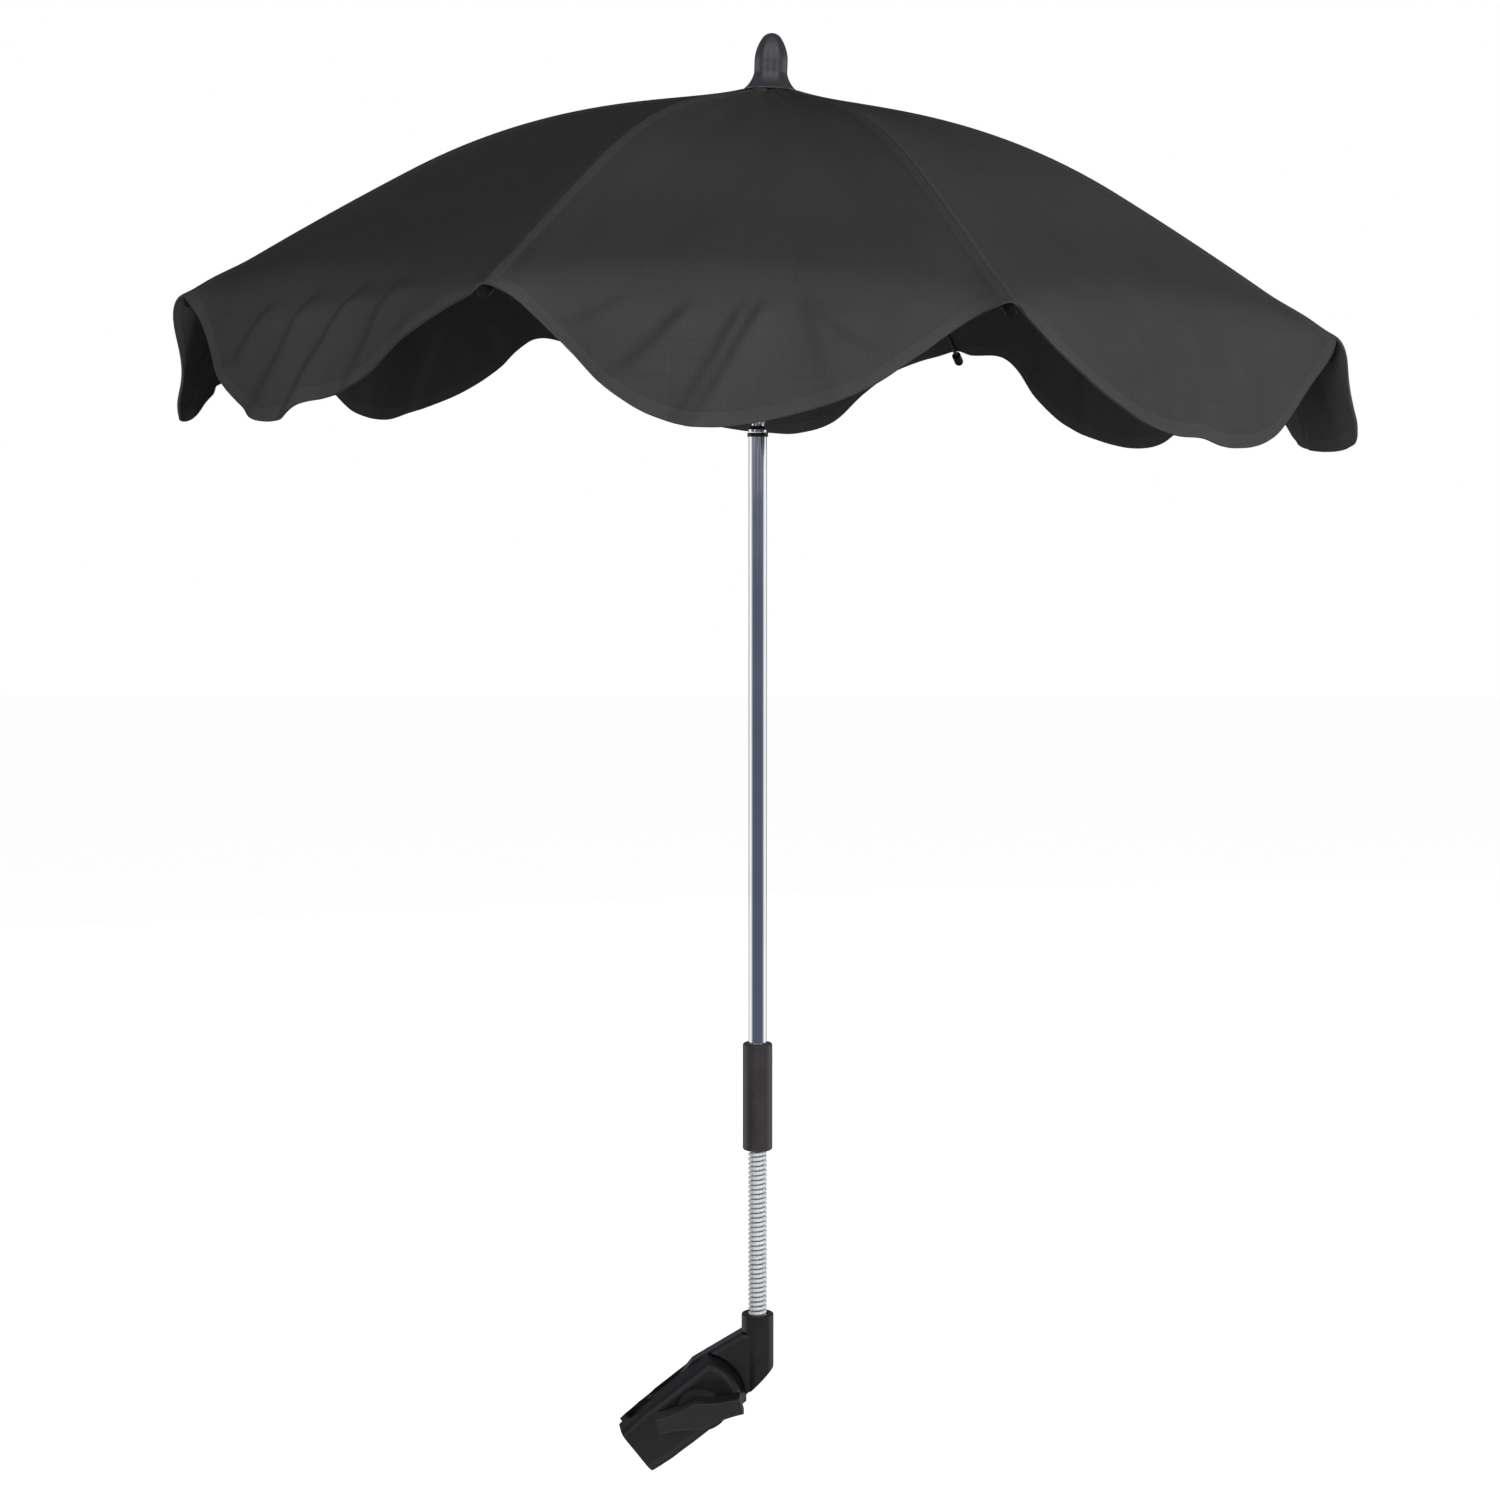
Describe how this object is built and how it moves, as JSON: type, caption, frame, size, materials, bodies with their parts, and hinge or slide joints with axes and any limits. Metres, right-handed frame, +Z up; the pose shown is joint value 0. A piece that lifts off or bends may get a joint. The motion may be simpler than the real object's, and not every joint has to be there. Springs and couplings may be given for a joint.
{
  "type": "pram parasol",
  "caption": "Folding scalloped parasol on a chrome pole with a bendable gooseneck and a swivelling tube clamp.",
  "frame": {"origin": "middle of the pram tube that the clamp grips, on the tube's axis", "axes": "+Z up along the pole, -Y towards the wing nut, the clamp reaches to -X"},
  "size_m": [0.6425, 0.6416, 0.8632],
  "materials": {
    "canopy_cloth": "plain weave, matt",
    "chrome": "polished",
    "gooseneck_steel": "bright zinc",
    "rib_steel": "satin black",
    "plain_steel": "plated",
    "rubber": "matt",
    "black_plastic": "satin"
  },
  "bodies": {
    "clamp": {"rear_jaw": "black_plastic", "rear_pad": "rubber", "clamp_bolt": "plain_steel"},
    "front_jaw": {"front_jaw": "black_plastic", "front_pad": "rubber"},
    "wing_nut": {"wing_nut": "black_plastic"},
    "arm": {"elbow_arm": "black_plastic", "neck_core_lower": "gooseneck_steel", "neck_coil_lower": "gooseneck_steel"},
    "neck_mid": {"neck_core_upper": "gooseneck_steel", "neck_coil_upper": "gooseneck_steel"},
    "mast": {"grip_sleeve": "black_plastic", "pole_tube": "chrome", "ferrule_plug": "black_plastic", "canopy_shaft": "chrome", "top_notch": "black_plastic", "notch_ring": "plain_steel", "finial": "black_plastic"},
    "runner": {"runner": "black_plastic"},
    "catch": {"runner_catch": "black_plastic"},
    "rib_1": {"rib_1": "rib_steel", "rib_tip_1": "black_plastic"},
    "stretcher_1": {"stretcher_1": "rib_steel"},
    "gore_1": {"gore_1": "canopy_cloth"},
    "valance_1": {"valance_1": "canopy_cloth"},
    "rib_2": {"rib_2": "rib_steel", "rib_tip_2": "black_plastic"},
    "stretcher_2": {"stretcher_2": "rib_steel"},
    "gore_2": {"gore_2": "canopy_cloth"},
    "valance_2": {"valance_2": "canopy_cloth"},
    "rib_3": {"rib_3": "rib_steel", "rib_tip_3": "black_plastic"},
    "stretcher_3": {"stretcher_3": "rib_steel"},
    "gore_3": {"gore_3": "canopy_cloth"},
    "valance_3": {"valance_3": "canopy_cloth"},
    "rib_4": {"rib_4": "rib_steel", "rib_tip_4": "black_plastic"},
    "stretcher_4": {"stretcher_4": "rib_steel"},
    "gore_4": {"gore_4": "canopy_cloth"},
    "valance_4": {"valance_4": "canopy_cloth"},
    "rib_5": {"rib_5": "rib_steel", "rib_tip_5": "black_plastic"},
    "stretcher_5": {"stretcher_5": "rib_steel"},
    "gore_5": {"gore_5": "canopy_cloth"},
    "valance_5": {"valance_5": "canopy_cloth"},
    "rib_6": {"rib_6": "rib_steel", "rib_tip_6": "black_plastic"},
    "stretcher_6": {"stretcher_6": "rib_steel"},
    "gore_6": {"gore_6": "canopy_cloth"},
    "valance_6": {"valance_6": "canopy_cloth"},
    "rib_7": {"rib_7": "rib_steel", "rib_tip_7": "black_plastic"},
    "stretcher_7": {"stretcher_7": "rib_steel"},
    "gore_7": {"gore_7": "canopy_cloth"},
    "valance_7": {"valance_7": "canopy_cloth"},
    "rib_8": {"rib_8": "rib_steel", "rib_tip_8": "black_plastic"},
    "stretcher_8": {"stretcher_8": "rib_steel"},
    "gore_8": {"gore_8": "canopy_cloth"},
    "valance_8": {"valance_8": "canopy_cloth"}
  },
  "joints": [
    {"name": "wing_nut_turn", "type": "hinge", "parent": "front_jaw", "child": "wing_nut", "pos_m": [0.02426, 0, 0.0193], "axis": [0, -1, 0], "range_deg": [0, 1440]},
    {"name": "front_jaw_slide", "type": "slide", "parent": "clamp", "child": "front_jaw", "axis": [0, -1, 0], "range_m": [0, 0.005]},
    {"name": "clamp_swivel", "type": "hinge", "parent": "clamp", "child": "arm", "pos_m": [0.02426, 0, 0.0193], "axis": [0, 1, 0], "range_deg": [-55, 55]},
    {"name": "neck_side_bend", "type": "hinge", "parent": "arm", "child": "neck_mid", "pos_m": [0.05946, 0, 0.09792], "axis": [0, 1, 0], "range_deg": [-60, 60], "deforming": ["neck_core_lower", "neck_coil_lower"]},
    {"name": "neck_fore_bend", "type": "hinge", "parent": "neck_mid", "child": "mast", "pos_m": [0.05946, 0, 0.14837], "axis": [1, 0, 0], "range_deg": [-60, 60], "deforming": ["neck_core_upper", "neck_coil_upper"]},
    {"name": "runner_slide", "type": "slide", "parent": "mast", "child": "runner", "axis": [-0.0366, 0, -0.9993], "range_m": [0, 0.12803]},
    {"name": "catch_press", "type": "slide", "parent": "runner", "child": "catch", "axis": [0.999, -0.0262, -0.0366], "range_m": [0, 0.0011], "stiffness_N_per_m": 600},
    {"name": "canopy_fold", "type": "hinge", "parent": "mast", "child": "rib_1", "pos_m": [0.07557, 0.00358, 0.79493], "axis": [-0.3581, 0.9336, 0.0131], "range_deg": [0, 66.86]},
    {"name": "stretcher_1_hinge", "type": "hinge", "parent": "rib_1", "child": "stretcher_1", "pos_m": [0.14856, 0.03182, 0.77835], "axis": [-0.3581, 0.9336, 0.0131], "range_deg": [-133.73, 0]},
    {"name": "gore_1_hinge", "type": "hinge", "parent": "mast", "child": "gore_1", "pos_m": [0.07294, 0.00636, 0.79503], "axis": [-0.6879, 0.7254, 0.0252], "range_deg": [0, 66.87], "deforming": ["gore_1"]},
    {"name": "valance_1_hinge", "type": "hinge", "parent": "gore_1", "child": "valance_1", "pos_m": [0.28524, 0.21227, 0.66344], "axis": [-0.6879, 0.7254, 0.0252], "range_deg": [-66.87, 0], "deforming": ["valance_1"]},
    {"name": "rib_2_hinge", "type": "hinge", "parent": "mast", "child": "rib_2", "pos_m": [0.0703, 0.00914, 0.79512], "axis": [-0.9129, 0.4067, 0.0335], "range_deg": [0, 66.87]},
    {"name": "stretcher_2_hinge", "type": "hinge", "parent": "rib_2", "child": "stretcher_2", "pos_m": [0.10182, 0.08111, 0.78007], "axis": [-0.9129, 0.4067, 0.0335], "range_deg": [-133.73, 0]},
    {"name": "gore_2_hinge", "type": "hinge", "parent": "mast", "child": "gore_2", "pos_m": [0.06648, 0.00924, 0.79526], "axis": [-0.999, 0.0262, 0.0366], "range_deg": [0, 66.87], "deforming": ["gore_2"]},
    {"name": "valance_2_hinge", "type": "hinge", "parent": "gore_2", "child": "valance_2", "pos_m": [0.06977, 0.30827, 0.67134], "axis": [-0.999, 0.0262, 0.0366], "range_deg": [-66.87, 0], "deforming": ["valance_2"]},
    {"name": "rib_3_hinge", "type": "hinge", "parent": "mast", "child": "rib_3", "pos_m": [0.06266, 0.00934, 0.79541], "axis": [-0.933, -0.3584, 0.0342], "range_deg": [0, 66.87]},
    {"name": "stretcher_3_hinge", "type": "hinge", "parent": "rib_3", "child": "stretcher_3", "pos_m": [0.03393, 0.08289, 0.78256], "axis": [-0.933, -0.3584, 0.0342], "range_deg": [-133.73, 0]},
    {"name": "gore_3_hinge", "type": "hinge", "parent": "mast", "child": "gore_3", "pos_m": [0.05988, 0.0067, 0.79551], "axis": [-0.7249, -0.6884, 0.0266], "range_deg": [0, 66.87], "deforming": ["gore_3"]},
    {"name": "valance_3_hinge", "type": "hinge", "parent": "gore_3", "child": "valance_3", "pos_m": [-0.15042, 0.22369, 0.67941], "axis": [-0.7249, -0.6884, 0.0266], "range_deg": [-66.87, 0], "deforming": ["valance_3"]},
    {"name": "rib_4_hinge", "type": "hinge", "parent": "mast", "child": "rib_4", "pos_m": [0.05711, 0.00407, 0.79561], "axis": [-0.4065, -0.9135, 0.0149], "range_deg": [0, 66.87]},
    {"name": "stretcher_4_hinge", "type": "hinge", "parent": "rib_4", "child": "stretcher_4", "pos_m": [-0.01532, 0.03611, 0.78436], "axis": [-0.4065, -0.9135, 0.0149], "range_deg": [-133.73, 0]},
    {"name": "gore_4_hinge", "type": "hinge", "parent": "mast", "child": "gore_4", "pos_m": [0.05701, 0.00024, 0.79561], "axis": [-0.0262, -0.9997, 0.001], "range_deg": [0, 66.87], "deforming": ["gore_4"]},
    {"name": "valance_4_hinge", "type": "hinge", "parent": "gore_4", "child": "valance_4", "pos_m": [-0.24635, 0.00807, 0.68293], "axis": [-0.0262, -0.9997, 0.001], "range_deg": [-66.87, 0], "deforming": ["valance_4"]},
    {"name": "rib_5_hinge", "type": "hinge", "parent": "mast", "child": "rib_5", "pos_m": [0.05691, -0.00358, 0.79562], "axis": [0.3581, -0.9336, -0.0131], "range_deg": [0, 66.87]},
    {"name": "stretcher_5_hinge", "type": "hinge", "parent": "rib_5", "child": "stretcher_5", "pos_m": [-0.0171, -0.03182, 0.78443], "axis": [0.3581, -0.9336, -0.0131], "range_deg": [-133.73, 0]},
    {"name": "gore_5_hinge", "type": "hinge", "parent": "mast", "child": "gore_5", "pos_m": [0.05954, -0.00636, 0.79552], "axis": [0.6879, -0.7254, -0.0252], "range_deg": [0, 66.87], "deforming": ["gore_5"]},
    {"name": "valance_5_hinge", "type": "hinge", "parent": "gore_5", "child": "valance_5", "pos_m": [-0.16183, -0.21227, 0.67983], "axis": [0.6879, -0.7254, -0.0252], "range_deg": [-66.87, 0], "deforming": ["valance_5"]},
    {"name": "rib_6_hinge", "type": "hinge", "parent": "mast", "child": "rib_6", "pos_m": [0.06218, -0.00914, 0.79542], "axis": [0.9129, -0.4067, -0.0335], "range_deg": [0, 66.87]},
    {"name": "stretcher_6_hinge", "type": "hinge", "parent": "rib_6", "child": "stretcher_6", "pos_m": [0.02964, -0.08111, 0.78271], "axis": [0.9129, -0.4067, -0.0335], "range_deg": [-133.73, 0]},
    {"name": "gore_6_hinge", "type": "hinge", "parent": "mast", "child": "gore_6", "pos_m": [0.066, -0.00924, 0.79528], "axis": [0.999, -0.0262, -0.0366], "range_deg": [0, 66.87], "deforming": ["gore_6"]},
    {"name": "valance_6_hinge", "type": "hinge", "parent": "gore_6", "child": "valance_6", "pos_m": [0.05364, -0.30827, 0.67193], "axis": [0.999, -0.0262, -0.0366], "range_deg": [-66.87, 0], "deforming": ["valance_6"]},
    {"name": "rib_7_hinge", "type": "hinge", "parent": "mast", "child": "rib_7", "pos_m": [0.06982, -0.00934, 0.79514], "axis": [0.933, 0.3584, -0.0342], "range_deg": [0, 66.87]},
    {"name": "stretcher_7_hinge", "type": "hinge", "parent": "rib_7", "child": "stretcher_7", "pos_m": [0.09753, -0.08289, 0.78023], "axis": [0.933, 0.3584, -0.0342], "range_deg": [-133.73, 0]},
    {"name": "gore_7_hinge", "type": "hinge", "parent": "mast", "child": "gore_7", "pos_m": [0.0726, -0.0067, 0.79504], "axis": [0.7249, 0.6884, -0.0266], "range_deg": [0, 66.87], "deforming": ["gore_7"]},
    {"name": "valance_7_hinge", "type": "hinge", "parent": "gore_7", "child": "valance_7", "pos_m": [0.27383, -0.22369, 0.66385], "axis": [0.7249, 0.6884, -0.0266], "range_deg": [-66.87, 0], "deforming": ["valance_7"]},
    {"name": "rib_8_hinge", "type": "hinge", "parent": "mast", "child": "rib_8", "pos_m": [0.07537, -0.00407, 0.79494], "axis": [0.4065, 0.9135, -0.0149], "range_deg": [0, 66.87]},
    {"name": "stretcher_8_hinge", "type": "hinge", "parent": "rib_8", "child": "stretcher_8", "pos_m": [0.14679, -0.03611, 0.77842], "axis": [0.4065, 0.9135, -0.0149], "range_deg": [-133.73, 0]},
    {"name": "gore_8_hinge", "type": "hinge", "parent": "mast", "child": "gore_8", "pos_m": [0.07547, -0.00024, 0.79494], "axis": [0.0262, 0.9997, -0.001], "range_deg": [0, 66.87], "deforming": ["gore_8"]},
    {"name": "valance_8_hinge", "type": "hinge", "parent": "gore_8", "child": "valance_8", "pos_m": [0.36977, -0.00807, 0.66034], "axis": [0.0262, 0.9997, -0.001], "range_deg": [-66.87, 0], "deforming": ["valance_8"]}
  ],
  "couplings": [
    {"joint": "wing_nut_turn", "follows": "front_jaw_slide", "rad_per_m": 5026.5},
    {"joint": "runner_slide", "follows": "canopy_fold", "m_per_rad": 0.10971},
    {"joint": "stretcher_1_hinge", "follows": "canopy_fold", "ratio": -2},
    {"joint": "gore_1_hinge", "follows": "canopy_fold", "ratio": 0.97707},
    {"joint": "valance_1_hinge", "follows": "canopy_fold", "ratio": -0.97707},
    {"joint": "rib_2_hinge", "follows": "canopy_fold", "ratio": 1},
    {"joint": "stretcher_2_hinge", "follows": "canopy_fold", "ratio": -2},
    {"joint": "gore_2_hinge", "follows": "canopy_fold", "ratio": 0.97707},
    {"joint": "valance_2_hinge", "follows": "canopy_fold", "ratio": -0.97707},
    {"joint": "rib_3_hinge", "follows": "canopy_fold", "ratio": 1},
    {"joint": "stretcher_3_hinge", "follows": "canopy_fold", "ratio": -2},
    {"joint": "gore_3_hinge", "follows": "canopy_fold", "ratio": 0.97707},
    {"joint": "valance_3_hinge", "follows": "canopy_fold", "ratio": -0.97707},
    {"joint": "rib_4_hinge", "follows": "canopy_fold", "ratio": 1},
    {"joint": "stretcher_4_hinge", "follows": "canopy_fold", "ratio": -2},
    {"joint": "gore_4_hinge", "follows": "canopy_fold", "ratio": 0.97707},
    {"joint": "valance_4_hinge", "follows": "canopy_fold", "ratio": -0.97707},
    {"joint": "rib_5_hinge", "follows": "canopy_fold", "ratio": 1},
    {"joint": "stretcher_5_hinge", "follows": "canopy_fold", "ratio": -2},
    {"joint": "gore_5_hinge", "follows": "canopy_fold", "ratio": 0.97707},
    {"joint": "valance_5_hinge", "follows": "canopy_fold", "ratio": -0.97707},
    {"joint": "rib_6_hinge", "follows": "canopy_fold", "ratio": 1},
    {"joint": "stretcher_6_hinge", "follows": "canopy_fold", "ratio": -2},
    {"joint": "gore_6_hinge", "follows": "canopy_fold", "ratio": 0.97707},
    {"joint": "valance_6_hinge", "follows": "canopy_fold", "ratio": -0.97707},
    {"joint": "rib_7_hinge", "follows": "canopy_fold", "ratio": 1},
    {"joint": "stretcher_7_hinge", "follows": "canopy_fold", "ratio": -2},
    {"joint": "gore_7_hinge", "follows": "canopy_fold", "ratio": 0.97707},
    {"joint": "valance_7_hinge", "follows": "canopy_fold", "ratio": -0.97707},
    {"joint": "rib_8_hinge", "follows": "canopy_fold", "ratio": 1},
    {"joint": "stretcher_8_hinge", "follows": "canopy_fold", "ratio": -2},
    {"joint": "gore_8_hinge", "follows": "canopy_fold", "ratio": 0.97707},
    {"joint": "valance_8_hinge", "follows": "canopy_fold", "ratio": -0.97707}
  ]
}
